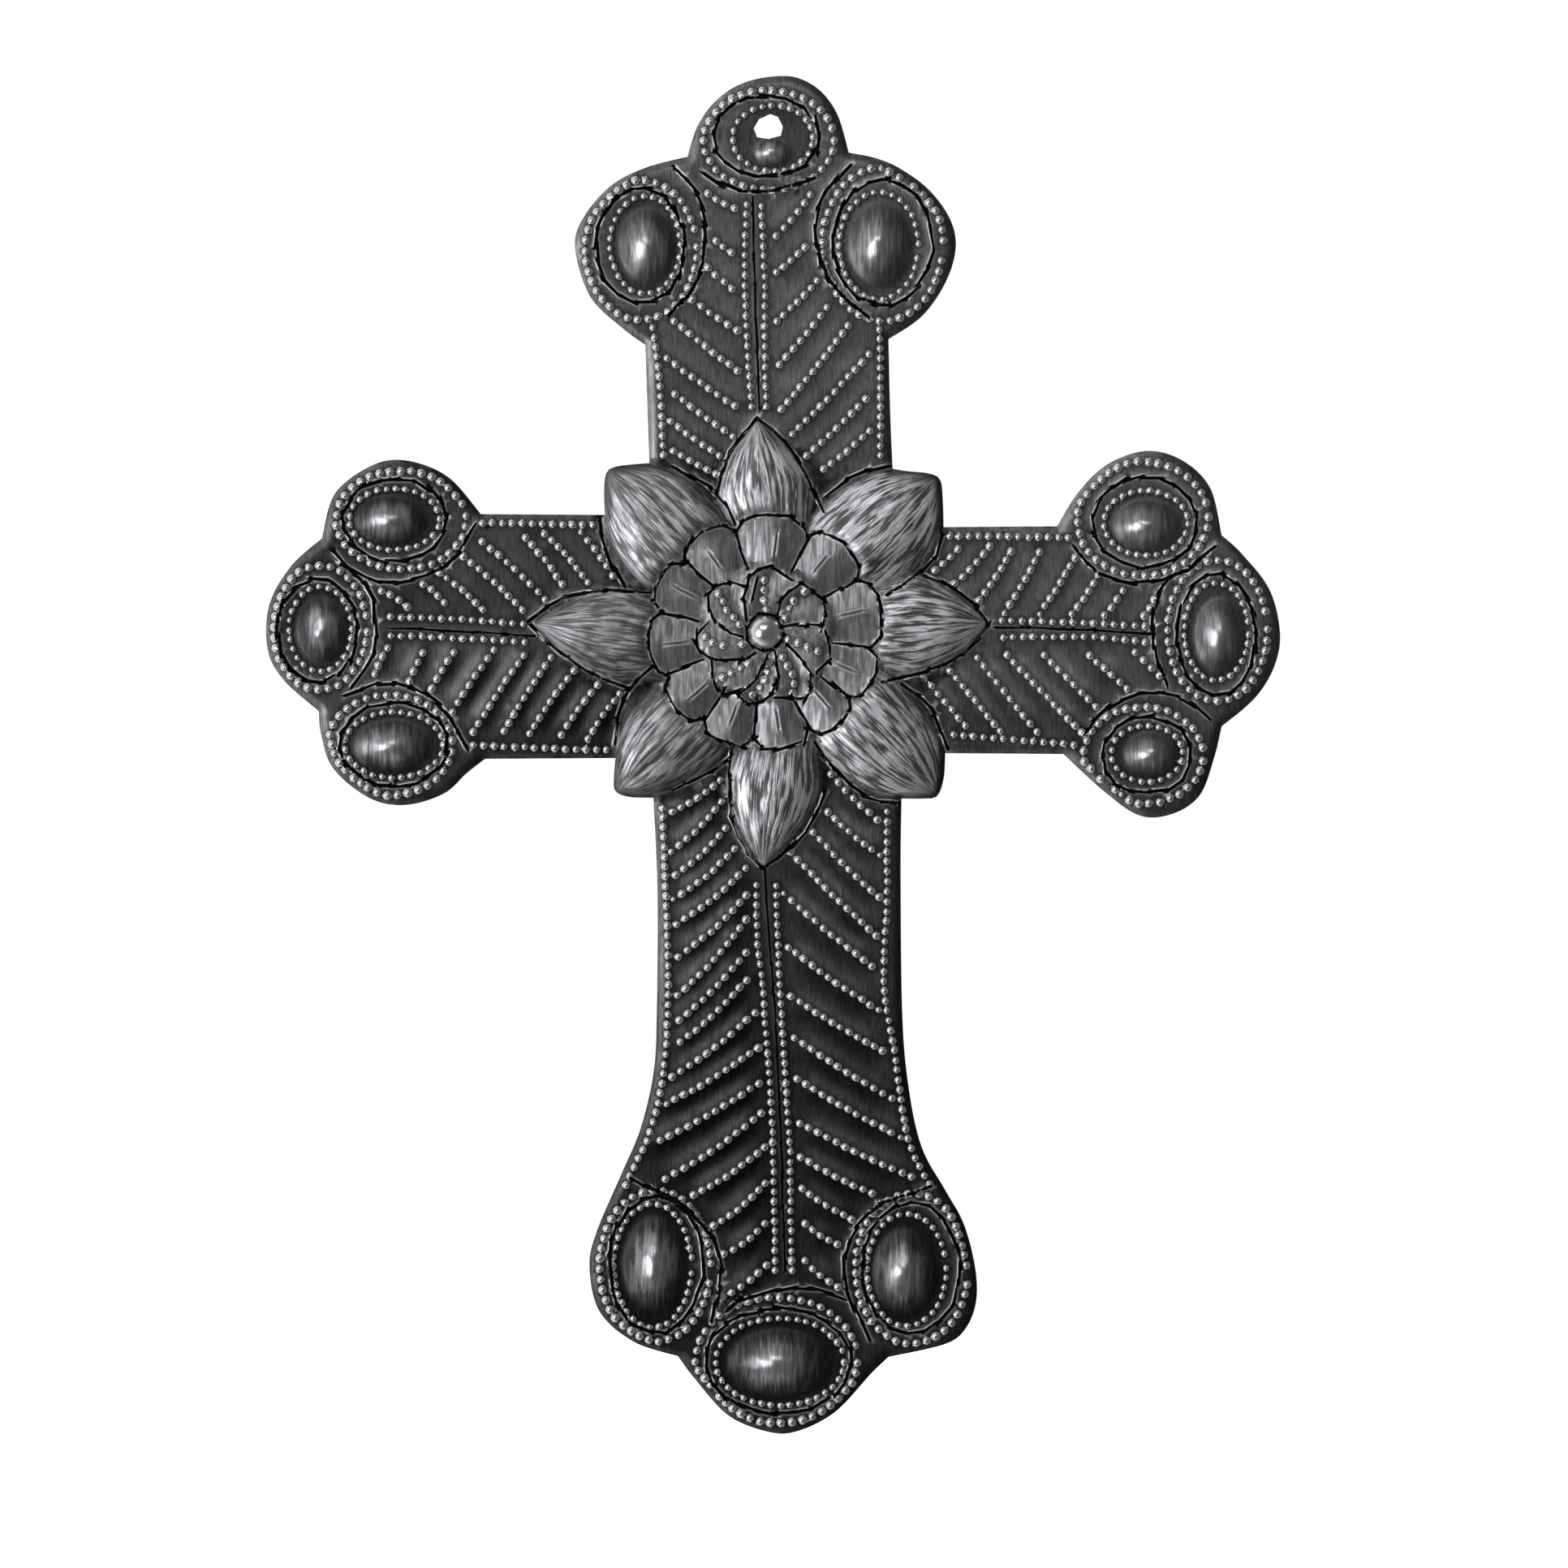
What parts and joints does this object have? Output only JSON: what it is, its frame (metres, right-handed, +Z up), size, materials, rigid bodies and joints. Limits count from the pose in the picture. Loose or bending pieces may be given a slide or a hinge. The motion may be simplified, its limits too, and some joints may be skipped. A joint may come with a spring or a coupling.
{
  "type": "metal cross",
  "caption": "Hand-hammered wall cross cut from one sheet of dark steel, with oval bosses on lobed arm ends, herringbone punch work and a layered flower at the crossing.",
  "frame": {"origin": "middle of the hanging hole near the top, on the back of the ground of the sheet", "axes": "+Z up along the upright arm, +X to the right seen from the front, front faces -Y and the wall is on the +Y side"},
  "size_m": [0.2502, 0.0077, 0.3351],
  "materials": {
    "dark_steel": "blackened sheet steel under clear lacquer, hammered and punched, with brushed streaks on the petals and polished high spots"
  },
  "bodies": {
    "root": {"hammered_sheet_cross": "dark_steel"}
  },
  "joints": []
}
